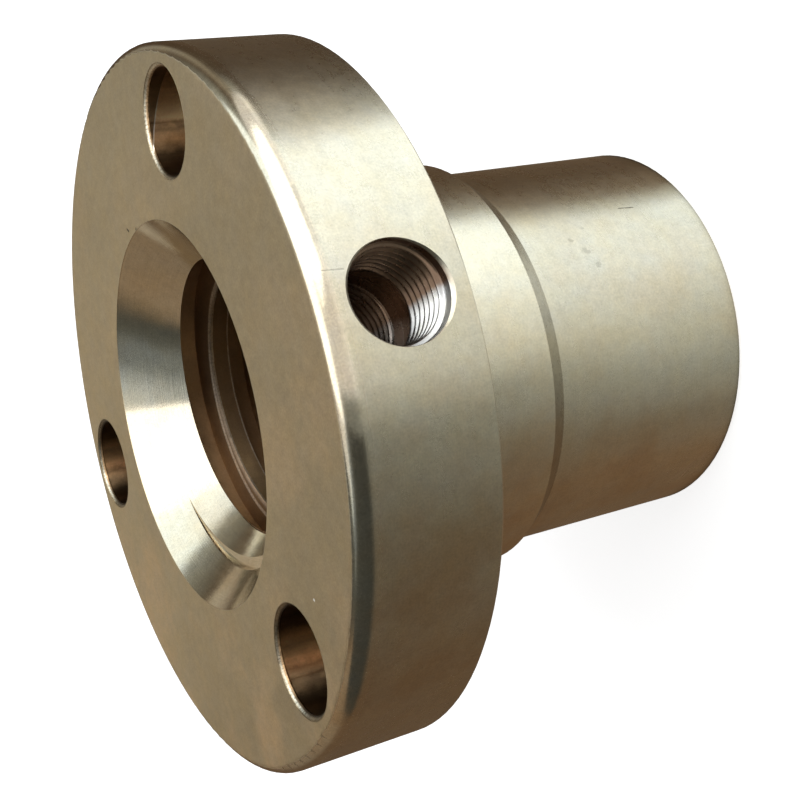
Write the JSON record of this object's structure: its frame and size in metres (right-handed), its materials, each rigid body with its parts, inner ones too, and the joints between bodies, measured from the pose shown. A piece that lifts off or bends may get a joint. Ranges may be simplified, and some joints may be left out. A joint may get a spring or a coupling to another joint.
{
  "type": "lead screw nut",
  "caption": "Round flanged bronze nut for a lead screw: coarse left hand trapezoidal thread, wide conical lead-in, pilot collar, long body, fixing holes and a tapped grease port in the rim.",
  "frame": {"origin": "on the nut's axis, in the plane of the flange's back face, which seats on the machine", "axes": "+Z along the nut's axis, out of the front face with the lead-in cone; +X out of the grease port in the rim"},
  "size_m": [0.08, 0.08, 0.061],
  "materials": {
    "bronze": "satin, fine turned"
  },
  "bodies": {
    "root": {"nut_body": "bronze"}
  },
  "joints": []
}
